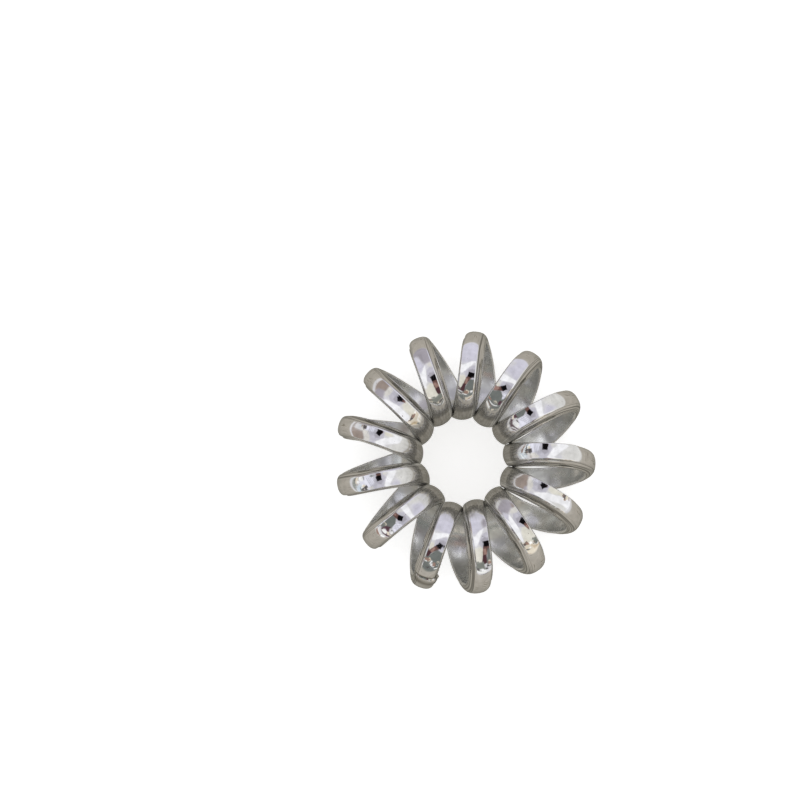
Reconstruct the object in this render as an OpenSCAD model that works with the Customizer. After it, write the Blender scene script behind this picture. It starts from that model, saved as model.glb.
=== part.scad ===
// Spiral hair tie: one length of plated elastic cord, wound into turns and welded
// end to end, so that the turns stand in a closed ring round a hole. The cord is
// flat inside. Outside it is domed at the outer end of each turn, rounded between
// straight sides where the turns nest at the hole, and pressed to a faint dish
// along the upper and lower strands.
// All lengths are in millimetres, all angles in degrees.

/* [Cord] */
// Width of the cord over its flat inner face
cord_w = 4.5; // [3:0.1:6]
// Thickness of the cord, from its flat inner face to its outer face
cord_t = 2.1; // [1.6:0.1:2.8]
// Size of the small chamfer between the flat inner face and each side wall
corner = 0.25; // [0.1:0.05:0.35]
// Height of each side wall's top edge over the flat inner face
side_h = 0.6; // [0.45:0.05:0.8]
// How far each side wall leans in towards its top edge
side_lean = 0.08; // [0:0.02:0.2]
// Width of the narrow ledge between each side wall and the outer part
ledge_w = 0.12; // [0.05:0.01:0.2]
// Rise of that ledge
ledge_rise = 0.05; // [0.02:0.01:0.2]
// How square the dome at the outer end of a turn is: 2 is an ellipse
dome_fullness = 2.4; // [2:0.1:3.5]
// Width of the rounded face that each turn shows at the hole
knuckle_w = 3.9; // [3.4:0.05:4.1]
// Radius of that rounded face
knuckle_r = 3.2; // [2.6:0.1:6]
// Width of the shallow dish pressed into the outer face
dish_w = 2.8; // [1.6:0.05:3]
// Depth of that dish
dish_d = 0.12; // [0:0.01:0.2]
// How far the dish lies off the middle of the cord, towards its steep side
dish_shift = 0.55; // [0:0.025:0.75]
// Width of the rounding between the dish and the shoulder on its other side
rim_w = 0.2; // [0.1:0.05:0.6]
// How far that rounding falls below the outer face
rim_fall = 0.1; // [0.05:0.01:0.3]
// How far the shoulder bulges from a straight slope
shoulder_bulge = 0.12; // [0:0.01:0.2]
// How far the steep side's rounding reaches below the outer face
steep_h = 0.65; // [0.3:0.05:1]

/* [Coil] */
// Number of turns in the closed ring
turns = 13; // [9:1:20]
// Width of one turn along the ring's radius, crest to crest
turn_d = 17.3; // [14:0.1:24]
// Height of one turn, crest to crest
turn_h = 16.8; // [13:0.1:24]
// Clearance between neighbouring turns where they nest round the hole
turn_gap = 0.15; // [0.1:0.05:1]
// Compass angle of the first turn's inner end, seen from above
start_angle = 93; // [0:1:360]

/* [Weld] */
// Depth of the groove round the cord where its two ends meet
groove_d = 0.14; // [0.05:0.01:0.2]
// Width of that groove
groove_w = 0.4; // [0.3:0.05:0.6]
// Height of the bead of squeezed-out material beside the groove
bead_h = 0.13; // [0.05:0.01:0.25]
// Width of that bead
bead_w = 0.75; // [0.5:0.05:1.2]
// Sideways step of the cord's far end against its near end
weld_step = 0.3; // [0:0.05:0.5]

/* [Hidden] */

// Rings of points along one turn, a multiple of four so that each turn has a
// ring at its highest and lowest point
turn_steps = 24;
// Steps across the shoulder, the dish and the steep side's rounding
shoulder_steps = 3;
dish_steps = 3;
steep_steps = 3;

pitch = 360 / turns;
half_w = cord_w / 2;
foot_h = side_h + ledge_rise;
foot_w = half_w - side_lean - ledge_w;

// The turns nest like the stones of an arch: the widest level of each cord
// fills its share of the circle, less the clearance.
nest_r = (half_w + turn_gap / 2) / tan(pitch / 2);
hole_r = nest_r - cord_t + corner;
ring_r = hole_r + turn_d / 2;

// Where the weld lies, in turns from the start: on the outer end of one turn,
// a little above the middle of its height.
weld_at = 7.39;
weld_stations = 12;
// Length of cord in one turn, and the length over which the step dies away
turn_length = PI * (turn_d + turn_h) / 2;
step_fade = turn_length / 3;

// Where round a turn the dish gives way to the rounder outlines at the turn's two
// ends, as shares of its half width
dish_until = 0.4;
round_from = 0.85;

// The upper strands run almost straight out and the lower ones carry the pitch.
// Both are shares of the pitch, anticlockwise seen from above.
fan = 0.11;
lean = -0.05;

// How each turn differs from an even coil, in the order of the turns, clockwise
// seen from above. Swings and leans are shares of the pitch, anticlockwise
// positive. The two columns named out are shares of the cord's thickness.
TIP_SWING = 0;
TIP_OUT = 1;
NEST_SWING = 2;
NEST_OUT = 3;
LEAN = 4;
TURNS = [
    // tip swing, tip out, nest swing, nest out, lean
    [0.06, 0, 0.03, 0.1, -0.02],
    [0.04, -0.15, 0.03, -0.05, 0],
    [0.04, -0.1, 0.01, -0.1, 0.01],
    [-0.04, 0, -0.01, -0.05, 0.01],
    [-0.02, 0.05, -0.02, 0, 0.03],
    [-0.01, 0.05, -0.03, 0, 0.03],
    [-0.01, 0.15, -0.03, 0.05, 0.05],
    [0.08, 0.25, 0.02, 0.3, -0.02],
    [0, -0.25, 0.04, -0.15, -0.04],
    [-0.05, -0.15, 0, -0.2, -0.01],
    [-0.04, 0, -0.01, 0.1, -0.07],
    [-0.01, 0.05, 0, 0.05, -0.01],
    [0.02, 0.15, 0.01, 0.15, -0.03],
];

function ease(f) = f * f * (3 - 2 * f);
function bell(x) = exp(-x * x);
function unit(v) = v / norm(v);

// A column of the table at any place along the coil, eased from row to row
function row(i) = TURNS[((i % turns) + turns) % turns % len(TURNS)];
function at_turn(column, place) =
    let (i = floor(place), f = ease(place - i))
    row(i)[column] * (1 - f) + row(i + 1)[column] * f;

// Angle round a turn: 0 at the hole, 90 on top, 180 at the outer end
function turn_angle(u) = 360 * (u - floor(u));

// Angle round the ring at u turns from the start
function ring_angle(u) =
    let (
        phi = turn_angle(u),
        tip = (1 - cos(phi)) / 2,
        swing = tip * at_turn(TIP_SWING, u - 0.5) + (1 - tip) * at_turn(NEST_SWING, u),
        slant = (lean + at_turn(LEAN, u - 0.5)) * sin(phi) - fan * cos(phi)
    )
    start_angle + pitch * (swing + slant - u);

// The line that the middle of the outer face follows
function crest(u) =
    let (
        phi = turn_angle(u),
        tip = (1 - cos(phi)) / 2,
        out = tip * at_turn(TIP_OUT, u - 0.5) + (1 - tip) * at_turn(NEST_OUT, u),
        r = ring_r - turn_d / 2 * cos(phi) + cord_t * out,
        a = ring_angle(u)
    )
    [r * cos(a), r * sin(a), turn_h / 2 * sin(phi)];

// Weld: distance along the cord from the groove, swelling and sideways step
function weld_distance(u) = (u - weld_at) * turn_length;
function swell(s) =
    bead_h * bell(2 * (s - (groove_w + bead_w) / 2) / bead_w) - groove_d * bell(2 * s / groove_w);
function side_step(s) =
    s < 0 || s > step_fade ? 0 : weld_step * min(1, s / bead_w) * (1 - ease(s / step_fade));

// Outline of the cord: x across it, positive on the shoulder's side, and y up from
// the flat inner face
side = [
    [half_w - corner, 0],
    [half_w, corner],
    [half_w - side_lean, side_h],
    [foot_w, foot_h],
];
shoulder_foot = [foot_w, foot_h];
shoulder_top = [dish_w / 2 - dish_shift + rim_w, cord_t - rim_fall];
slope = shoulder_top - shoulder_foot;
slope_out = [slope.y, -slope.x] / norm(slope);
shoulder = [
    for (i = [1:shoulder_steps])
        let (f = i / shoulder_steps)
        shoulder_foot + slope * f + slope_out * shoulder_bulge * 4 * f * (1 - f)
];
dish = [
    for (i = [0:dish_steps])
        let (across = 1 - 2 * i / dish_steps)
        [across * dish_w / 2 - dish_shift, cord_t - dish_d * (1 - across * across)]
];
steep_rim = -dish_w / 2 - dish_shift;
steep_side = [
    for (i = [1:steep_steps])
        let (a = 90 * i / steep_steps)
        [steep_rim - (foot_w + steep_rim) * sin(a), cord_t - steep_h * (1 - cos(a))]
];
dished = concat(shoulder, dish, steep_side);

// The rounder outer parts have as many points as the dished one
function squared(x) = sign(x) * pow(abs(x), 2 / dome_fullness);
domed = [
    for (i = [1:len(dished)])
        let (a = 180 * i / (len(dished) + 1))
        [foot_w * squared(cos(a)), foot_h + (cord_t - foot_h) * squared(sin(a))]
];
knuckle = [
    for (i = [0:len(dished) - 1])
        let (x = knuckle_w / 2 * cos(180 * i / (len(dished) - 1)))
        [x, cord_t - knuckle_r + sqrt(knuckle_r * knuckle_r - x * x)]
];

// The whole outline at an angle round the turn
function round_share(phi) =
    let (f = (abs(cos(phi)) - dish_until) / (round_from - dish_until))
    ease(min(1, max(0, f)));
function outer(phi) =
    let (share = round_share(phi))
    dished * (1 - share) + (cos(phi) > 0 ? knuckle : domed) * share;
function profile(phi) =
    concat(side, outer(phi), [for (i = [len(side) - 1:-1:0]) [-side[i].x, side[i].y]]);

// One ring of points round the cord, square to its crest line
function cord_ring(u) =
    let (
        phi = turn_angle(u),
        a = ring_angle(u),
        s = weld_distance(u),
        along = unit(crest(u + 0.002) - crest(u - 0.002)),
        spoke = [-cos(phi) * cos(a), -cos(phi) * sin(a), sin(phi)],
        up = unit(spoke - (spoke * along) * along),
        across = cross(along, up),
        middle = crest(u) - up * cord_t / 2 - across * side_step(s),
        grow = 2 * swell(s)
    )
    [
        for (p = profile(phi))
            middle + across * p.x * (1 + grow / cord_w) + up * (p.y - cord_t / 2) * (1 + grow / cord_t)
    ];

// Places of the rings: even steps, with close ones through the weld
weld_from = weld_at - groove_w / turn_length;
weld_to = weld_at + (groove_w + 1.5 * bead_w) / turn_length;
steps = [for (i = [0:turns * turn_steps - 1]) i / turn_steps];
places = concat(
    [for (u = steps) if (u < weld_from - 0.3 / turn_steps) u],
    [for (i = [0:weld_stations]) weld_from + (weld_to - weld_from) * i / weld_stations],
    [for (u = steps) if (u > weld_to + 0.3 / turn_steps) u]
);

sides = len(profile(0));
points = [for (u = places) each cord_ring(u)];
faces = [
    for (i = [0:len(places) - 1])
        for (j = [0:sides - 1])
            let (
                here = i * sides,
                next = (i + 1) % len(places) * sides,
                k = (j + 1) % sides
            )
            each [[here + j, here + k, next + k], [here + j, next + k, next + j]]
];

// The origin is the middle of the bounding box, level with what the tie lies on
lowest = [for (axis = [0:2]) min([for (p = points) p[axis]])];
highest = [for (axis = [0:2]) max([for (p = points) p[axis]])];
base = [(lowest.x + highest.x) / 2, (lowest.y + highest.y) / 2, lowest.z];

// The whole tie: the cord swept along the coil and closed on itself
module coil() {
    color("silver")
        translate(-base)
            polyhedron(points, faces, convexity = 12);
}

coil();
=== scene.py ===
"""Spiral hair tie: one mirror-plated elastic cord, wound into a ring of turns.

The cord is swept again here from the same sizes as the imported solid, but finely,
because a mirror shows every facet. Lengths are in millimetres until the meshes are
made. The named values hold angles in degrees.
"""

import math

import bpy
import numpy as np
from mathutils import Matrix, Vector

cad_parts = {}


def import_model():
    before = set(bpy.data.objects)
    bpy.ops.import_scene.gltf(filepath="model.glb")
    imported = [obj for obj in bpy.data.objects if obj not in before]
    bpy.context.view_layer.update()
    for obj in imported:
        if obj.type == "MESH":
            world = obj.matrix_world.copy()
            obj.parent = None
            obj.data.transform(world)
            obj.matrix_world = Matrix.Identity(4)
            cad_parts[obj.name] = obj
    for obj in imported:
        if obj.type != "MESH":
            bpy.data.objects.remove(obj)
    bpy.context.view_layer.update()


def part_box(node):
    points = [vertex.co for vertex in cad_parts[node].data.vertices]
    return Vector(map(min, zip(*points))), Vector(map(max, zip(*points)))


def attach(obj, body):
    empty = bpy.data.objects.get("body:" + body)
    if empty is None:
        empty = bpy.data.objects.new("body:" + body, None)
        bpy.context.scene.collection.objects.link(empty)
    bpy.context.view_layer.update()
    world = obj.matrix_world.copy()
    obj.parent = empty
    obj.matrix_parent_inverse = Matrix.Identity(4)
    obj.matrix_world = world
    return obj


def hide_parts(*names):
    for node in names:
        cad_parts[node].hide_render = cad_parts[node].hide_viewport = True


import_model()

MM = 0.001
DATA = bpy.data
SCENE = bpy.context.scene

# Sizes of the cord and the coil, as in part.scad

CORD_W, CORD_T = 4.5, 2.1
CORNER = 0.25
SIDE_H, SIDE_LEAN = 0.6, 0.08
LEDGE_W, LEDGE_RISE = 0.12, 0.05
DISH_W, DISH_D, DISH_SHIFT = 2.8, 0.12, 0.55
RIM_W, RIM_FALL = 0.2, 0.1
SHOULDER_BULGE, STEEP_H = 0.12, 0.65
DOME_FULLNESS = 2.4
KNUCKLE_W, KNUCKLE_R = 3.9, 3.2
DISH_UNTIL, ROUND_FROM = 0.4, 0.85
# Where the turns press together at the hole, the cord swells by this share. The higher
# the second number, the sooner the swelling ends along the turn.
PRESSED, PRESSED_FALL = 0.045, 3
# Samples over the rounder outlines, and over how many the knuckle's corners are rounded
OUTLINE_SAMPLES = 400
KNUCKLE_SOFT = 25

TURNS = 13
TURN_D, TURN_H = 17.3, 16.8
TURN_GAP = 0.15
START_ANGLE = 93
FAN, LEAN = 0.11, -0.05
PITCH = 360 / TURNS

GROOVE_D, GROOVE_W = 0.14, 0.4
BEAD_H, BEAD_W = 0.13, 0.75
WELD_STEP, WELD_AT = 0.3, 7.39
# Dirt has gathered in the groove. To this share, this far from it behind the bead, the
# cord is darkened with dirt and painted shade
DIRT_AND_SHADE_SHARE, DIRT_AND_SHADE_BEHIND = 0.9, 1.8

NEST_R = (CORD_W / 2 + TURN_GAP / 2) / math.tan(math.radians(PITCH / 2))
RING_R = NEST_R - CORD_T + CORNER + TURN_D / 2
TURN_LENGTH = math.pi * (TURN_D + TURN_H) / 2
STEP_FADE = TURN_LENGTH / 3

# How each turn differs from an even coil. Swings and leans are shares of the pitch,
# and the two columns named out are shares of the cord's thickness.
TIP_SWING, TIP_OUT, NEST_SWING, NEST_OUT, TURN_LEAN = range(5)
TURN_TABLE = np.array(
    [
        [0.06, 0, 0.03, 0.1, -0.02],
        [0.04, -0.15, 0.03, -0.05, 0],
        [0.04, -0.1, 0.01, -0.1, 0.01],
        [-0.04, 0, -0.01, -0.05, 0.01],
        [-0.02, 0.05, -0.02, 0, 0.03],
        [-0.01, 0.05, -0.03, 0, 0.03],
        [-0.01, 0.15, -0.03, 0.05, 0.05],
        [0.08, 0.25, 0.02, 0.3, -0.02],
        [0, -0.25, 0.04, -0.15, -0.04],
        [-0.05, -0.15, 0, -0.2, -0.01],
        [-0.04, 0, -0.01, 0.1, -0.07],
        [-0.01, 0.05, 0, 0.05, -0.01],
        [0.02, 0.15, 0.01, 0.15, -0.03],
    ]
)

# Rings to a turn, and how much closer they lie through the weld
TURN_STEPS = 138
WELD_STEPS = 4
# Share of a turn either way over which the cord's direction is taken
DIRECTION_STEP = 0.002


# The line that the cord follows


def unit(v):
    return v / np.linalg.norm(v, axis=-1, keepdims=True)


def ease(f):
    return f * f * (3 - 2 * f)


def bell(x):
    return np.exp(-x * x)


def at_turn(column, place):
    """A column of the table at any place along the coil, eased from row to row."""
    row = np.floor(place).astype(int)
    share = ease(place - row)
    values = TURN_TABLE[:, column]
    return values[row % TURNS] * (1 - share) + values[(row + 1) % TURNS] * share


def ring_angle(u):
    """Compass angle at u turns from the start, in radians."""
    phi = 2 * math.pi * u
    tip = (1 - np.cos(phi)) / 2
    swing = tip * at_turn(TIP_SWING, u - 0.5) + (1 - tip) * at_turn(NEST_SWING, u)
    slant = (LEAN + at_turn(TURN_LEAN, u - 0.5)) * np.sin(phi) - FAN * np.cos(phi)
    return np.radians(START_ANGLE + PITCH * (swing + slant - u))


def crest(u):
    """The middle of the cord's outer face."""
    phi = 2 * math.pi * u
    tip = (1 - np.cos(phi)) / 2
    out = tip * at_turn(TIP_OUT, u - 0.5) + (1 - tip) * at_turn(NEST_OUT, u)
    r = RING_R - TURN_D / 2 * np.cos(phi) + CORD_T * out
    a = ring_angle(u)
    return np.stack([r * np.cos(a), r * np.sin(a), TURN_H / 2 * np.sin(phi)], -1)


def swell(s):
    """How far the weld stands proud at distance s along the cord from its groove."""
    bead = BEAD_H * bell(2 * (s - (GROOVE_W + BEAD_W) / 2) / BEAD_W)
    return bead - GROOVE_D * bell(2 * s / GROOVE_W)


def side_step(s):
    """Sideways step of the cord after the weld, dying away along it."""
    on = (s >= 0) & (s <= STEP_FADE)
    fade = 1 - ease(np.clip(s / STEP_FADE, 0, 1))
    return np.where(on, WELD_STEP * np.minimum(1, np.maximum(s, 0) / BEAD_W) * fade, 0)


# Outline of the cord

FACE, FLANK, INSIDE = range(3)


def straight(a, b, steps=1):
    """Points from a to b with the direction of travel at each."""
    a, b = np.array(a, float), np.array(b, float)
    return [(a + (b - a) * i / steps, b - a) for i in range(steps + 1)]


def bow(a, b, rise, steps):
    """A shallow parabola from a to b that stands rise to the right of the chord."""
    a, b = np.array(a, float), np.array(b, float)
    chord = b - a
    out = np.array([chord[1], -chord[0]]) / np.linalg.norm(chord)
    rows = []
    for i in range(steps + 1):
        f = i / steps
        point = a + chord * f + out * rise * 4 * f * (1 - f)
        rows.append((point, chord + out * rise * 4 * (1 - 2 * f)))
    return rows


def quarter(a, b, steps):
    """A quarter of an ellipse that leaves a sideways and reaches b straight down."""
    a, size = np.array(a, float), np.array(b, float) - a
    rows = []
    for i in range(steps + 1):
        t = math.pi / 2 * i / steps
        point = a + size * (math.sin(t), 1 - math.cos(t))
        rows.append((point, size * (math.cos(t), math.sin(t))))
    return rows


def cut_back(rows, start, end):
    """The same run with its two ends moved in by those distances."""
    pts = np.array([p for p, _ in rows])
    dirs = np.array([unit(d) for _, d in rows])
    lengths = np.concatenate([[0], np.cumsum(np.linalg.norm(np.diff(pts, axis=0), axis=1))])
    share = np.linspace(start, lengths[-1] - end, len(rows))
    both = np.concatenate([pts, dirs], 1)
    moved = np.stack([np.interp(share, lengths, both[:, c]) for c in range(4)], 1)
    return [(row[:2], row[2:]) for row in moved]


def rounding(before, corner, after, steps):
    """Points on a smooth curve round a corner, without its two ends."""
    rows = []
    for i in range(1, steps):
        f = i / steps
        point = before * (1 - f) ** 2 + corner * 2 * f * (1 - f) + after * f * f
        rows.append((point, (corner - before) * (1 - f) + (after - corner) * f))
    return rows


def spread(curve, shares):
    """Points at those shares of the way along a curve."""
    walked = np.concatenate([[0], np.cumsum(np.linalg.norm(np.diff(curve, axis=0), axis=1))])
    return np.stack([np.interp(shares * walked[-1], walked, curve[:, c]) for c in (0, 1)], -1)


def dome_curve(foot):
    """A plain dome over the cord, from its foot on one side to that on the other."""
    angle = np.linspace(0, math.pi, OUTLINE_SAMPLES)
    c, s = np.cos(angle), np.sin(angle)
    power = 2 / DOME_FULLNESS
    x = foot[0] * np.sign(c) * np.abs(c) ** power
    y = foot[1] + (CORD_T - foot[1]) * s**power
    return np.stack([x, y], -1)


def knuckle_curve(foot):
    """An arc between straight sides, with its corners rounded."""
    x = KNUCKLE_W / 2 * np.cos(np.linspace(0, math.pi, OUTLINE_SAMPLES))
    arc = np.stack([x, CORD_T - KNUCKLE_R + np.sqrt(KNUCKLE_R**2 - x**2)], -1)
    corners = np.concatenate([[foot], arc, [(-foot[0], foot[1])]])
    arch = spread(corners, np.linspace(0, 1, OUTLINE_SAMPLES))
    soft = np.ones(KNUCKLE_SOFT) / KNUCKLE_SOFT
    margin = KNUCKLE_SOFT // 2
    padded = np.pad(arch, ((margin, margin), (0, 0)), mode="edge")
    return np.stack([np.convolve(padded[:, c], soft, "valid") for c in (0, 1)], -1)


def cord_outlines():
    """Dished, domed and knuckle points round the cord, and finishes.

    They are x across the cord and y up from its flat inner face.
    """
    half = CORD_W / 2
    foot = (half - SIDE_LEAN - LEDGE_W, SIDE_H + LEDGE_RISE)
    near, far = DISH_W / 2 - DISH_SHIFT, -DISH_W / 2 - DISH_SHIFT
    wall = (half - SIDE_LEAN, SIDE_H)
    # Each run, its finish, and the rounding where it meets the next run
    runs = [
        (straight((-half + CORNER, 0), (half - CORNER, 0), 3), INSIDE, 0.08),
        (straight((half - CORNER, 0), (half, CORNER)), INSIDE, 0.1),
        (straight((half, CORNER), wall), FLANK, 0.05),
        (straight(wall, foot), FLANK, 0.05),
        (bow(foot, (near + RIM_W, CORD_T - RIM_FALL), SHOULDER_BULGE, 5), FLANK, 0.06),
        (straight((near + RIM_W, CORD_T - RIM_FALL), (near, CORD_T)), FACE, 0.08),
        (bow((near, CORD_T), (far, CORD_T), -DISH_D, 9), FACE, 0.06),
        (quarter((far, CORD_T), (-foot[0], CORD_T - STEEP_H), 5), FACE, 0.05),
        (straight((-foot[0], CORD_T - STEEP_H), (-foot[0], foot[1])), FLANK, 0.05),
        (straight((-foot[0], foot[1]), (-wall[0], wall[1])), FLANK, 0.05),
        (straight((-wall[0], wall[1]), (-half, CORNER)), FLANK, 0.1),
        (straight((-half, CORNER), (-half + CORNER, 0)), INSIDE, 0.08),
    ]
    rows, finishes = [], []
    for i, (run, finish, cut) in enumerate(runs):
        after, _, after_cut = runs[(i + 1) % len(runs)]
        whole = cut_back(run, runs[i - 1][2], cut)
        following = cut_back(after, cut, after_cut)
        whole += rounding(whole[-1][0], run[-1][0], following[0][0], 2)
        rows += whole
        finishes += [finish] * len(whole)
    dished, finishes = np.array([p for p, _ in rows]), np.array(finishes)

    # The two rounder outlines have their points at the same shares of the way over
    over = np.flatnonzero(dished[:, 1] > foot[1])
    lengths = np.cumsum(np.linalg.norm(np.diff(dished[over], axis=0, prepend=[foot]), axis=1))
    shares = lengths / (lengths[-1] + np.linalg.norm(dished[over[-1]] - (-foot[0], foot[1])))
    domed, knuckle = dished.copy(), dished.copy()
    domed[over] = spread(dome_curve(foot), shares)
    knuckle[over] = spread(knuckle_curve(foot), shares)
    return dished, domed, knuckle, finishes


# The cord as one mesh


def weld_distance(u):
    """Distance along the cord from the weld's groove, either way."""
    return ((u - WELD_AT + TURNS / 2) % TURNS - TURNS / 2) * TURN_LENGTH


def sweep():
    """Points and normals of the whole cord, ring by ring from the weld round to it."""
    even = WELD_AT + np.arange(TURNS * TURN_STEPS) / TURN_STEPS
    close = np.linspace(0, 1, WELD_STEPS, endpoint=False) / TURN_STEPS
    places = []
    for u in even:
        s = weld_distance(u)
        near_weld = -2 * GROOVE_W < s < GROOVE_W + 1.5 * BEAD_W
        places += list(u + close) if near_weld else [u]
    u = np.array(places)

    phi, a, s = 2 * math.pi * u, ring_angle(u), weld_distance(u)
    along = unit(crest(u + DIRECTION_STEP) - crest(u - DIRECTION_STEP))
    spoke = np.stack([-np.cos(phi) * np.cos(a), -np.cos(phi) * np.sin(a), np.sin(phi)], -1)
    up = unit(spoke - (spoke * along).sum(-1, keepdims=True) * along)
    across = np.cross(along, up)
    middle = crest(u) - up * CORD_T / 2 - across * side_step(s)[:, None]

    dished, domed, knuckle, finishes = cord_outlines()
    share = (np.abs(np.cos(phi)) - DISH_UNTIL) / (ROUND_FROM - DISH_UNTIL)
    share = ease(np.clip(share, 0, 1))[:, None, None]
    at_hole_end = (np.cos(phi) > 0)[:, None, None]
    outline = dished * (1 - share) + np.where(at_hole_end, knuckle, domed) * share
    grow = 2 * swell(s)[:, None, None]
    at_hole = PRESSED * bell(np.sin(phi / 2) * PRESSED_FALL)[:, None, None]
    x = outline[..., :1] * (1 + grow / CORD_W + at_hole)
    y = (outline[..., 1:] - CORD_T / 2) * (1 + grow / CORD_T)
    points = middle[:, None] + across[:, None] * x + up[:, None] * y

    round_it = unit(np.roll(points, -1, 1) - np.roll(points, 1, 1))
    onward = unit(np.roll(points, -1, 0) - np.roll(points, 1, 0))
    normals = unit(np.cross(onward, round_it))
    return points, normals, u, finishes


def grid_quads(rows, columns, closed):
    """Quads between neighbouring rows of points, each row a loop.

    In a closed grid the last row also joins the first.
    """
    i, j = np.indices((rows if closed else rows - 1, columns))
    here, onward = i * columns, (i + 1) % rows * columns
    after = (j + 1) % columns
    return np.stack([here + j, onward + j, onward + after, here + after], -1).reshape(-1, 4)


def keep_values(mesh, name, values):
    """Store one value a point, for the materials to read."""
    attribute = mesh.attributes.new(name, "FLOAT", "POINT")
    attribute.data.foreach_set("value", values.astype(np.float32))


def cord_mesh():
    """The cord as one smooth closed mesh, and the middle of the ring.

    Its UV map runs along the cord and round it.
    """
    points, normals, u, finishes = sweep()
    rings, sides = points.shape[:2]
    low, high = (np.array(corner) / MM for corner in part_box("coil"))
    ring_middle = (low + high - points.min((0, 1)) - points.max((0, 1))) / 2
    ring_middle[2] = low[2] - points[..., 2].min()
    points = (points + ring_middle) * MM

    quads = grid_quads(rings, sides, closed=True)
    mesh = DATA.meshes.new("plated_coil")
    mesh.from_pydata(points.reshape(-1, 3), [], quads.tolist())
    mesh.polygons.foreach_set("use_smooth", np.ones(len(quads), bool))
    mesh.polygons.foreach_set("material_index", np.tile(finishes, rings))

    i, j = np.indices((rings, sides))
    lengthways = (np.append(u, WELD_AT + TURNS) - WELD_AT) / TURNS
    girth = np.arange(sides + 1) / sides
    corners = [(0, 0), (1, 0), (1, 1), (0, 1)]
    uv = np.stack([np.stack([lengthways[i + di], girth[j + dj]], -1) for di, dj in corners], 2)
    layer = mesh.uv_layers.new(name="cord")
    layer.data.foreach_set("uv", uv.reshape(-1).astype(np.float32))
    keep_values(mesh, "exposed", np.repeat((1 - np.cos(2 * math.pi * u)) / 2, sides))
    s = weld_distance(u)
    # Dirt in the weld's groove, and dirt and painted shade behind its bead
    dirt_and_shade = np.maximum(bell(2 * s / GROOVE_W), DIRT_AND_SHADE_SHARE * bell((s - DIRT_AND_SHADE_BEHIND) / BEAD_W))
    keep_values(mesh, "grime_and_shade", np.repeat(dirt_and_shade, sides))
    mesh.normals_split_custom_set_from_vertices(normals.reshape(-1, 3).tolist())
    mesh.update()
    return mesh, ring_middle


# Materials


def new_material(name):
    """A fresh material with its nodes, its links and its shader."""
    material = DATA.materials.new(name)
    material.use_nodes = True
    nodes, links = material.node_tree.nodes, material.node_tree.links
    return material, nodes, links, nodes["Principled BSDF"]


# What the UV map's two directions stand for: the whole cord, and about the way round it
CORD_LENGTH = TURNS * TURN_LENGTH
GIRTH = 12.6
# Places in a turn run from 0 at the hole to 1 at its outer end. The outer face and the
# flanks are rubbed, and the outer face darkened with painted shade, fully up to the first
# of these two, and not at all from the second on.
RUBBED_AND_SHADED = (0.04, 0.25)
# How metallic they still are where they are rubbed
FACE_RUBBED_METAL, FLANK_RUBBED_METAL = 0.65, 0.4
# The inner face is dark with painted shade at the first of these two and clear from the second on
INSIDE_SHADED = (0.0, 0.5)
# The scratches fade in from the first of these two to the second
SCRATCHED = (0.80, 0.92)
# Scratches: their length along the cord and width across it, the seed of their pattern,
# and the values of one shared noise between which they fade in, so that those along the
# cord and those across it never cross
SCRATCHES = [
    # length, width, seed, from, to
    (2.2, 0.16, 23.0, 0.60, 0.68),
    (0.15, 1.3, 29.0, 0.36, 0.28),
]
SCRATCH_PATCH = (3.4, 2.1)

# Colours of the three finishes, each between two
BRIGHT = (0.75, 0.74, 0.72), (0.81, 0.80, 0.785)
# Flank colours: mould streaks, and darker than the face's as painted shade of the sides
STREAKED_AND_SHADED = (0.33, 0.325, 0.305), (0.80, 0.79, 0.77)
MOTTLED = (0.68, 0.68, 0.66), (0.97, 0.97, 0.95)
# Tones by which they are darkened
SPECK_TONE = (0.30, 0.27, 0.24)
SCRATCH_TONE = (0.60, 0.58, 0.53)
# Dirt in the weld's groove, and dirt and painted shade behind its bead
DIRT_AND_SHADE_TONE = (0.34, 0.33, 0.29)
# Painted shade on the outer face towards the hole, where the turns shade each other
FACE_HOLE_SHADE = (0.60, 0.59, 0.56)
FACE_STREAK_TONE = (0.78, 0.77, 0.74)
# The flanks turn a little darker towards the hole
FLANK_HOLE_TONE = (0.90, 0.89, 0.85)
# Painted shade on the inner face towards the hole
INSIDE_HOLE_SHADE = (0.60, 0.60, 0.58)


def cord_noise(nodes, links, length, width, detail, seed):
    """Noise in patches so many millimetres long and wide, laid along the cord."""
    place = nodes.new("ShaderNodeUVMap")
    place.uv_map = "cord"
    scale = nodes.new("ShaderNodeMapping")
    scale.inputs["Scale"].default_value = (CORD_LENGTH / length, GIRTH / width, 1)
    scale.inputs["Location"].default_value = (seed, seed, 0)
    noise = nodes.new("ShaderNodeTexNoise")
    noise.noise_dimensions = "2D"
    noise.inputs["Scale"].default_value = 1.0
    noise.inputs["Detail"].default_value = detail
    links.new(place.outputs["UV"], scale.inputs["Vector"])
    links.new(scale.outputs["Vector"], noise.inputs["Vector"])
    return noise.outputs[0]


def ramp(nodes, links, source, low, high, to_low, to_high):
    """Values from low to high become values from to_low to to_high, and no further."""
    node = nodes.new("ShaderNodeMapRange")
    node.inputs["From Min"].default_value = low
    node.inputs["From Max"].default_value = high
    node.inputs["To Min"].default_value = to_low
    node.inputs["To Max"].default_value = to_high
    links.new(source, node.inputs["Value"])
    return node.outputs["Result"]


def bump(nodes, links, height, depth, before=None):
    """Relief of so many millimetres."""
    node = nodes.new("ShaderNodeBump")
    node.inputs["Distance"].default_value = depth * MM
    links.new(height, node.inputs["Height"])
    if before:
        links.new(before, node.inputs["Normal"])
    return node.outputs["Normal"]


def two_colours(nodes, links, share, first, second):
    """One colour turning into another."""
    mix = nodes.new("ShaderNodeMix")
    mix.data_type = "RGBA"
    mix.inputs["A"].default_value = (*first, 1)
    mix.inputs["B"].default_value = (*second, 1)
    links.new(share, mix.inputs["Factor"])
    return mix.outputs["Result"]


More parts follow.
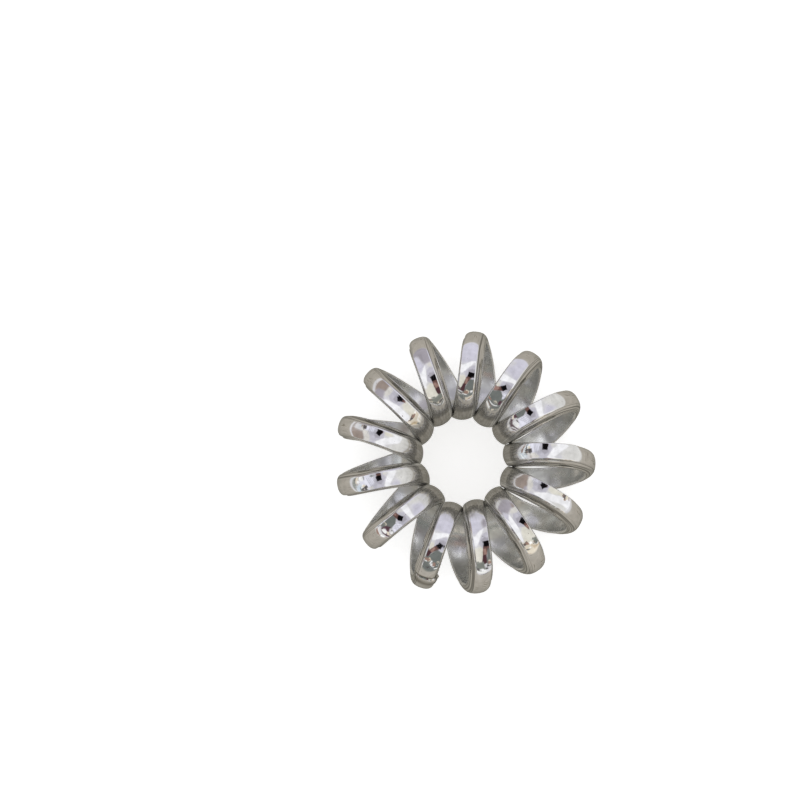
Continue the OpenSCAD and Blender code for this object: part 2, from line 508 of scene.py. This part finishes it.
def by_place(nodes, links, low, high, to_low, to_high):
    """Values by how far out the cord is in its turn: 0 at the hole, 1 at the outer end."""
    place = nodes.new("ShaderNodeAttribute")
    place.attribute_name = "exposed"
    return ramp(nodes, links, place.outputs["Fac"], low, high, to_low, to_high)


def times(nodes, links, first, second):
    """One value times another."""
    node = nodes.new("ShaderNodeMath")
    node.operation = "MULTIPLY"
    links.new(first, node.inputs[0])
    links.new(second, node.inputs[1])
    return node.outputs[0]


def dulled(nodes, links, share, colour, tone):
    """A colour times a tone, where the share is 1."""
    mix = nodes.new("ShaderNodeMix")
    mix.data_type = "RGBA"
    mix.blend_type = "MULTIPLY"
    mix.inputs["B"].default_value = (*tone, 1)
    links.new(share, mix.inputs["Factor"])
    links.new(colour, mix.inputs["A"])
    return mix.outputs["Result"]


def soiled_and_shaded(nodes, links, colour):
    """A colour with the dirt that lies in the weld's groove, and with dirt and painted shade
    behind its bead.
    """
    weld = nodes.new("ShaderNodeAttribute")
    weld.attribute_name = "grime_and_shade"
    return dulled(nodes, links, weld.outputs["Fac"], colour, DIRT_AND_SHADE_TONE)


def face_material():
    """Bright mirror plating of the outer face, with faint waves, drawn lines and specks.

    It is scratched at the outer ends of the turns. At the hole it is rubbed less metallic,
    and darkened with painted shade, darker still in streaks.
    """
    material, nodes, links, shader = new_material("mirror_plating")
    metal = by_place(nodes, links, *RUBBED_AND_SHADED, FACE_RUBBED_METAL, 1)
    links.new(metal, shader.inputs["Metallic"])
    spots = cord_noise(nodes, links, 0.5, 0.4, detail=1.0, seed=3.0)
    specks = ramp(nodes, links, spots, 0.82, 0.85, 0, 1)
    haze = cord_noise(nodes, links, 7, 0.9, detail=3.0, seed=11.0)
    colour = two_colours(nodes, links, ramp(nodes, links, haze, 0.35, 0.7, 0, 1), *BRIGHT)
    colour = dulled(nodes, links, specks, colour, SPECK_TONE)

    at_tip = by_place(nodes, links, *SCRATCHED, 0, 1)
    areas = cord_noise(nodes, links, *SCRATCH_PATCH, detail=0.0, seed=31.0)
    for length, width, seed, start, end in SCRATCHES:
        lines = cord_noise(nodes, links, length, width, detail=0.0, seed=seed)
        scratches = ramp(nodes, links, lines, 0.66, 0.72, 0, 1)
        patches = ramp(nodes, links, areas, start, end, 0, 1)
        scratched = times(nodes, links, times(nodes, links, scratches, patches), at_tip)
        colour = dulled(nodes, links, scratched, colour, SCRATCH_TONE)

    # Painted shade: darker towards the hole, where the turns shade each other, and in streaks
    at_hole = by_place(nodes, links, *RUBBED_AND_SHADED, 1, 0)
    colour = dulled(nodes, links, at_hole, colour, FACE_HOLE_SHADE)
    grain = cord_noise(nodes, links, 2.5, 0.3, detail=3.0, seed=37.0)
    streaks = times(nodes, links, ramp(nodes, links, grain, 0.4, 0.6, 0, 1), at_hole)
    colour = dulled(nodes, links, streaks, colour, FACE_STREAK_TONE)
    links.new(soiled_and_shaded(nodes, links, colour), shader.inputs["Base Color"])
    links.new(ramp(nodes, links, haze, 0.4, 0.75, 0.03, 0.09), shader.inputs["Roughness"])
    swells = cord_noise(nodes, links, 5, 2.6, detail=1.0, seed=5.0)
    draw_lines = cord_noise(nodes, links, 7, 0.3, detail=1.0, seed=17.0)
    relief = bump(nodes, links, draw_lines, 0.003, bump(nodes, links, swells, 0.03))
    links.new(relief, shader.inputs["Normal"])
    return material


def flank_material():
    """Plating of the shoulder and side walls, streaked along the cord by its mould, and darker
    than the outer face with painted shade of the cord's sides.

    Where the turns rub together at the hole it has worn towards the pale cord, and its
    colour is a little darker there.
    """
    material, nodes, links, shader = new_material("streaked_and_shaded_plating")
    metal = by_place(nodes, links, *RUBBED_AND_SHADED, FLANK_RUBBED_METAL, 1)
    links.new(metal, shader.inputs["Metallic"])
    streaks = cord_noise(nodes, links, 18, 0.26, detail=0.0, seed=7.0)
    # Mould streaks; their dark colour is also painted shade of the cord's sides
    share = ramp(nodes, links, streaks, 0.38, 0.62, 0, 1)
    colour = two_colours(nodes, links, share, *STREAKED_AND_SHADED)
    at_hole = by_place(nodes, links, *RUBBED_AND_SHADED, 1, 0)
    colour = dulled(nodes, links, at_hole, colour, FLANK_HOLE_TONE)
    links.new(soiled_and_shaded(nodes, links, colour), shader.inputs["Base Color"])
    links.new(ramp(nodes, links, streaks, 0.3, 0.7, 0.16, 0.07), shader.inputs["Roughness"])
    swells = cord_noise(nodes, links, 5, 1.6, detail=1.0, seed=9.0)
    relief = bump(nodes, links, streaks, 0.03, bump(nodes, links, swells, 0.03))
    links.new(relief, shader.inputs["Normal"])
    return material


def inside_material():
    """Duller, mottled plating of the flat inner face, darkened with painted shade towards the
    hole.
    """
    material, nodes, links, shader = new_material("mottled_plating")
    shader.inputs["Metallic"].default_value = 0.85
    mottle = cord_noise(nodes, links, 5, 0.7, detail=4.0, seed=13.0)
    colour = two_colours(nodes, links, ramp(nodes, links, mottle, 0.35, 0.65, 0, 1), *MOTTLED)
    # Painted shade towards the hole, deep between the turns
    at_hole = by_place(nodes, links, *INSIDE_SHADED, 1, 0)
    colour = dulled(nodes, links, at_hole, colour, INSIDE_HOLE_SHADE)
    links.new(colour, shader.inputs["Base Color"])
    links.new(ramp(nodes, links, mottle, 0.35, 0.65, 0.34, 0.18), shader.inputs["Roughness"])
    links.new(bump(nodes, links, mottle, 0.1), shader.inputs["Normal"])
    return material


def floor_material():
    """Plain near-white floor, partly glowing so that the tie's shade stays faint."""
    material, nodes, links, shader = new_material("pale_floor")
    shader.inputs["Base Color"].default_value = (0.9, 0.9, 0.9, 1)
    shader.inputs["Roughness"].default_value = 0.9
    shader.inputs["Specular IOR Level"].default_value = 0.0
    shader.inputs["Emission Color"].default_value = (1, 1, 1, 1)
    shader.inputs["Emission Strength"].default_value = FLOOR_GLOW
    return material


# Studio: floor, light and the cards that the plating reflects

# Cards stand on a dome round the tie. Each has its colour as it should show in the
# plating, the softness of its edge in degrees, and its corners, in degrees from straight
# up: to the right, and away from the viewer. A later card stands in front of an earlier.
CARDS = [
    # name, red, green, blue, softness, corners
    ("ceiling", 212, 211, 213, 4, [(-90, -90), (90, -90), (90, 90), (-90, 90)]),
    ("ceiling_cool", 205, 203, 216, 8, [(-14, 30), (28, 20), (46, 40), (40, 82), (-14, 82)]),
    ("wall_right", 214, 213, 210, 8, [(38, 50), (80, 50), (88, -20), (50, -20), (30, 12)]),
    ("wall_cream", 222, 219, 208, 3, [(-2, -6), (18, -8), (40, -26), (34, -42), (6, -42), (0, -24)]),
    ("tan_card", 226, 217, 200, 4, [(30, -24), (44, -22), (66, -36), (50, -62), (32, -50)]),
    ("tan_streak_a", 202, 180, 146, 2, [(36, -32), (40, -30), (56, -46), (50, -50)]),
    ("tan_streak_b", 196, 176, 150, 2, [(32, -38), (35, -38), (46, -58), (41, -60)]),
    ("tan_streak_c", 244, 242, 236, 2, [(40, -27), (44, -26), (62, -40), (58, -43)]),
    ("bright_band", 244, 244, 247, 2,
     [(-14, 34), (-4, 32), (20, 14), (66, -22), (64, -34), (34, -20), (8, 2)]),
    ("panel", 192, 190, 200, 1.5, [(-34, 6), (-20, 24), (-8, 22), (8, 2), (2, -12), (-16, -14)]),
    ("panel_shade", 170, 167, 176, 1.5, [(-20, 4), (-10, 14), (0, 7), (-4, 2), (-14, 0)]),
    ("wall_left", 216, 213, 208, 3, [(-54, 8), (-40, 22), (-28, 34), (-18, 32), (-22, 20), (-36, 6)]),
    ("wall_pale", 226, 226, 238, 2, [(-58, 2), (-40, 10), (-24, 4), (-20, -12), (-32, -20), (-54, -14)]),
    ("window", 202, 212, 221, 2, [(-80, 12), (-56, 10), (-50, 2), (-54, -8), (-78, -8)]),
    ("window_light", 240, 244, 248, 1.5, [(-76, 9), (-58, 7), (-56, 4), (-74, 5)]),
    ("window_bar", 120, 122, 128, 1.5, [(-60, 1), (-51, 0), (-50, -3), (-59, -2)]),
    ("shelf", 152, 139, 131, 3, [(-74, 22), (-46, 16), (-32, 30), (-30, 46), (-44, 54), (-64, 46)]),
    ("door", 163, 158, 166, 4, [(-42, 50), (-34, 32), (-14, 36), (-14, 80), (-36, 78)]),
    ("dark_cloth", 112, 116, 113, 1.5,
     [(-38, -22), (-24, -13), (-9, -13), (-4, -28), (2, -44), (-6, -66), (-28, -76),
      (-50, -60), (-38, -40)]),
    ("grey_cushion", 150, 152, 146, 2,
     [(-74, -12), (-66, -9), (-57, -13), (-56, -20), (-66, -23), (-74, -18)]),
    ("wine_cloth", 92, 68, 76, 1.5,
     [(-68, -20), (-60, -21), (-46, -27), (-34, -24), (-34, -38), (-42, -44), (-60, -38)]),
    ("white_gap_a", 238, 238, 240, 1, [(-64, -28), (-52, -26), (-50, -29), (-60, -31)]),
    ("white_gap_b", 222, 216, 222, 1, [(-50, -33), (-46, -31), (-40, -36), (-44, -39)]),
    ("white_gap_c", 226, 226, 222, 1.5, [(-62, -46), (-56, -44), (-44, -52), (-50, -58)]),
    ("brown_card", 106, 80, 75, 1, [(-15, -7), (-2, -5), (4, -20), (6, -30), (-3, -28), (-9, -16)]),
    ("brown_light", 156, 126, 117, 1.5, [(-5, -14), (1, -13), (3, -26), (-4, -27)]),
    ("wine_card", 82, 56, 60, 1, [(-3, -27), (6, -27), (11, -42), (7, -48), (0, -46)]),
    ("green_grey_card", 128, 131, 124, 2,
     [(8, -42), (20, -40), (32, -44), (34, -56), (24, -62), (8, -58)]),
    ("white_spot_a", 240, 240, 238, 1, [(-4, -54), (0, -54), (0, -66), (-4, -66)]),
    ("white_spot_b", 236, 236, 232, 1, [(12, -62), (24, -62), (24, -66), (12, -66)]),
    ("dark_spot", 84, 80, 78, 1.5, [(22, -66), (32, -63), (32, -70), (22, -72)]),
]
# One more card, which stands in front of the slats and the small things too
BLACK_CARD = (
    "black_card", 14, 12, 14, 0.8,
    [(-16, 3), (-3, 4), (-3, 0), (-1, -8), (-6, -9), (-7, -10), (-15, -9)],
)
# Thin leaning slats of a blind, left of the panel: where each starts, and its height
# either way. Then their width, lean, tone and softness.
SLATS = [(-37 + 4 * i, 15 - i) for i in range(5)]
SLAT_WIDTH, SLAT_LEAN = 1.3, 4
SLAT_TONE = (176, 176, 186)
SLAT_SOFTNESS = 0.7
# The surface that the tie lies on, as its plating shows it: tone by degrees from straight
# up, darker towards straight down with painted shade that the tie casts on it
SURFACE = [
    # degrees, red, green, blue
    (66, 178, 173, 164),
    (100, 168, 162, 152),
    (130, 158, 153, 143),
    (155, 136, 132, 122),
    (180, 106, 103, 93),
]
# Where that surface ends, in degrees from straight up, by compass angle from the right
HORIZON = [
    # compass angle, degrees
    (0, 79),
    (45, 82),
    (90, 83),
    (135, 83),
    (180, 84),
    (225, 77),
    (270, 70),
    (315, 75),
    (360, 79),
]
HORIZON_SOFTNESS = 2.5
# Small things in the room: how many, the seed of their places, the compass angles and
# tilts between which they lie, their least and greatest size in degrees, the softness of
# their edges, and their tones
CLUTTER = 90
CLUTTER_SEED = 11
CLUTTER_COMPASS = (170, 335)
CLUTTER_TILT = (44, 84)
CLUTTER_SIZE = (1.2, 4.5)
CLUTTER_SOFTNESS = 0.8
CLUTTER_TONES = [
    # red, green, blue
    (240, 240, 240),
    (92, 88, 88),
    (150, 124, 112),
    (132, 134, 128),
    (222, 212, 194),
    (250, 250, 248),
]
# The dome, with a close step between its levels above the tie, where the cards are, and
# a wide one below
DOME_RADIUS = 300
DOME_STEP, DOME_STEP_BELOW = 0.75, 3
DOME_COLUMNS = 300
# The floor's width, how strongly it glows, and the even light from all round
FLOOR_WIDTH = 4000
FLOOR_GLOW = 0.64
LIGHT = 0.62
# Share of the light that the plating sends back
PLATING_SENDS = np.array([0.80, 0.79, 0.77])


def linear(rgb):
    """Light of an 8-bit display colour."""
    c = np.array(rgb, float) / 255
    return np.where(c <= 0.04045, c / 12.92, ((c + 0.055) / 1.055) ** 2.4)


def inside(points, corners, softness):
    """How far each point is inside a shape, from 0 to 1, soft at its edge."""
    corners = np.array(corners, float)
    following = np.roll(corners, -1, 0)
    gap = np.full(len(points), np.inf)
    odd = np.zeros(len(points), bool)
    for a, b in zip(corners, following):
        edge = b - a
        t = np.clip(((points - a) @ edge) / (edge @ edge), 0, 1)
        gap = np.minimum(gap, np.linalg.norm(points - a - t[:, None] * edge, axis=1))
        spans = (a[1] > points[:, 1]) != (b[1] > points[:, 1])
        with np.errstate(divide="ignore", invalid="ignore"):
            crossing = a[0] + (points[:, 1] - a[1]) * edge[0] / edge[1]
        odd ^= spans & (points[:, 0] < crossing)
    signed = np.where(odd, gap, -gap)
    return ease(np.clip(signed / softness / 2 + 0.5, 0, 1))


def heading(angle):
    """The step of length 1 in a direction on the cards' map, given in radians."""
    return np.array([math.cos(angle), math.sin(angle)])


def clutter():
    """Small leaning boxes, in the same form as the cards."""
    draw = np.random.default_rng(CLUTTER_SEED)
    rows = []
    for i in range(CLUTTER):
        compass, tilt = math.radians(draw.uniform(*CLUTTER_COMPASS)), draw.uniform(*CLUTTER_TILT)
        turn = draw.uniform(0, math.pi)
        along = heading(turn) * draw.uniform(*CLUTTER_SIZE)
        up = heading(turn + math.pi / 2) * draw.uniform(*CLUTTER_SIZE)
        middle = heading(compass) * tilt
        corners = [middle - along - up, middle + along - up, middle + along + up, middle - along + up]
        tone = CLUTTER_TONES[i % len(CLUTTER_TONES)]
        rows.append(("clutter", *tone, CLUTTER_SOFTNESS, corners))
    return rows


def slats():
    """The blind's slats, in the same form as the cards."""
    rows = []
    for x, h in SLATS:
        top = x + SLAT_LEAN
        corners = [(x, -h), (x + SLAT_WIDTH, -h), (top + SLAT_WIDTH, h), (top, h)]
        rows.append(("slat", *SLAT_TONE, SLAT_SOFTNESS, corners))
    return rows


def dome_colours(tilt, compass):
    """Light from each direction: the cards above the horizon, the surface's tones below.

    The tilts are in degrees from straight up, and the compass angles in radians.
    """
    where = np.stack([tilt * np.cos(compass), tilt * np.sin(compass)], -1)
    colours = np.zeros((len(tilt), 3))
    for _, red, green, blue, softness, corners in CARDS + slats() + clutter() + [BLACK_CARD]:
        share = inside(where, corners, softness)[:, None]
        colours = colours * (1 - share) + linear((red, green, blue)) * share
    edge = np.array(HORIZON, float)
    horizon = np.interp(np.degrees(compass) % 360, edge[:, 0], edge[:, 1])
    below = ease(np.clip((tilt - horizon) / HORIZON_SOFTNESS / 2 + 0.5, 0, 1))[:, None]
    # Below the horizon the surface's tones, darker straight down with the tie's painted shade
    tones = np.array(SURFACE, float)
    surface = np.stack([np.interp(tilt, tones[:, 0], tones[:, c]) for c in (1, 2, 3)], -1)
    colours = colours * (1 - below) + linear(surface) * below
    return colours / PLATING_SENDS


def card_material():
    """Glows in the cards' colours, with faint clouds so that none is quite flat."""
    material = DATA.materials.new("cards")
    material.use_nodes = True
    nodes, links = material.node_tree.nodes, material.node_tree.links
    nodes.clear()
    colour = nodes.new("ShaderNodeAttribute")
    colour.attribute_name = "cards"
    glow = nodes.new("ShaderNodeEmission")
    out = nodes.new("ShaderNodeOutputMaterial")
    clouds = nodes.new("ShaderNodeTexNoise")
    clouds.inputs["Scale"].default_value = 10
    clouds.inputs["Detail"].default_value = 5
    strength = ramp(nodes, links, clouds.outputs[0], 0.3, 0.7, 0.88, 1.1)
    links.new(strength, glow.inputs["Strength"])
    links.new(colour.outputs["Color"], glow.inputs["Color"])
    links.new(glow.outputs[0], out.inputs["Surface"])
    return material


def reflection_dome(centre):
    """A dome of painted cards that only reflections see."""
    above, under = np.arange(0, 90, DOME_STEP), np.arange(90, 181, DOME_STEP_BELOW)
    levels = np.concatenate([above, under])
    tilt = np.repeat(levels, DOME_COLUMNS)
    compass = np.tile(np.arange(DOME_COLUMNS) * 2 * math.pi / DOME_COLUMNS, len(levels))
    lean = np.radians(tilt)
    aside = np.sin(lean)
    points = np.stack([aside * np.cos(compass), aside * np.sin(compass), np.cos(lean)], -1)
    points = centre + points * DOME_RADIUS * MM

    mesh = DATA.meshes.new("reflection_dome")
    mesh.from_pydata(points, [], grid_quads(len(levels), DOME_COLUMNS, closed=False).tolist())
    paint = mesh.attributes.new("cards", "FLOAT_COLOR", "POINT")
    colours = np.concatenate([dome_colours(tilt, compass), np.ones((len(tilt), 1))], 1)
    paint.data.foreach_set("color", colours.reshape(-1).astype(np.float32))
    mesh.materials.append(card_material())

    dome = DATA.objects.new("reflection_dome", mesh)
    SCENE.collection.objects.link(dome)
    dome.visible_camera = dome.visible_diffuse = dome.visible_shadow = False
    dome.visible_transmission = dome.visible_volume_scatter = False


def floor():
    """A wide plain floor, which the plating sees only as the dome's lower half."""
    half = FLOOR_WIDTH * MM / 2
    corners = [(-half, -half, 0), (half, -half, 0), (half, half, 0), (-half, half, 0)]
    mesh = DATA.meshes.new("floor")
    mesh.from_pydata(corners, [], [(0, 1, 2, 3)])
    mesh.materials.append(floor_material())
    plane = DATA.objects.new("floor", mesh)
    SCENE.collection.objects.link(plane)
    plane.visible_glossy = False


def world():
    """Even soft light from all round."""
    SCENE.world = DATA.worlds.new("studio")
    SCENE.world.use_nodes = True
    background = SCENE.world.node_tree.nodes["Background"]
    background.inputs["Color"].default_value = (1, 1, 1, 1)
    background.inputs["Strength"].default_value = LIGHT
    SCENE.view_settings.view_transform = "Standard"


# Camera

IMAGE_SIZE = 800
FOCAL_PIXELS = 1300
SENSOR_WIDTH = 36
# From the middle of the ring, and off the vertical
CAMERA_DISTANCE = 248
CAMERA_TILT = 5.5
# Where the middle of the ring shows in the image, from its left and top edges
RING_CENTRE_SHOWN = (463.8, 460.2)


def camera(centre):
    """Looks down at the ring, a little from the near side, off the middle of the image."""
    data = DATA.cameras.new("camera")
    data.sensor_width = SENSOR_WIDTH
    data.lens = FOCAL_PIXELS / IMAGE_SIZE * SENSOR_WIDTH
    data.clip_start, data.clip_end = 0.01, 10
    tilt = math.radians(CAMERA_TILT)
    back = Vector((0, -math.sin(tilt), math.cos(tilt)))
    right = Vector((1, 0, 0))
    facing = Matrix((right, back.cross(right), back)).transposed()
    x = (RING_CENTRE_SHOWN[0] - IMAGE_SIZE / 2) / FOCAL_PIXELS
    y = (IMAGE_SIZE / 2 - RING_CENTRE_SHOWN[1]) / FOCAL_PIXELS
    aside = Vector((x, y, -1)).rotation_difference(Vector((0, 0, -1)))
    cam = DATA.objects.new("camera", data)
    cam.rotation_mode = "QUATERNION"
    cam.rotation_quaternion = facing.to_quaternion() @ aside
    cam.location = centre + back * CAMERA_DISTANCE * MM
    SCENE.collection.objects.link(cam)
    SCENE.camera = cam


coil_mesh, ring_middle = cord_mesh()
coil = DATA.objects.new("plated_coil", coil_mesh)
SCENE.collection.objects.link(coil)
for finish in (face_material(), flank_material(), inside_material()):
    coil.data.materials.append(finish)
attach(coil, "root")
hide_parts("coil")

floor()
world()
reflection_dome(ring_middle * MM)
camera(Vector(ring_middle * MM))
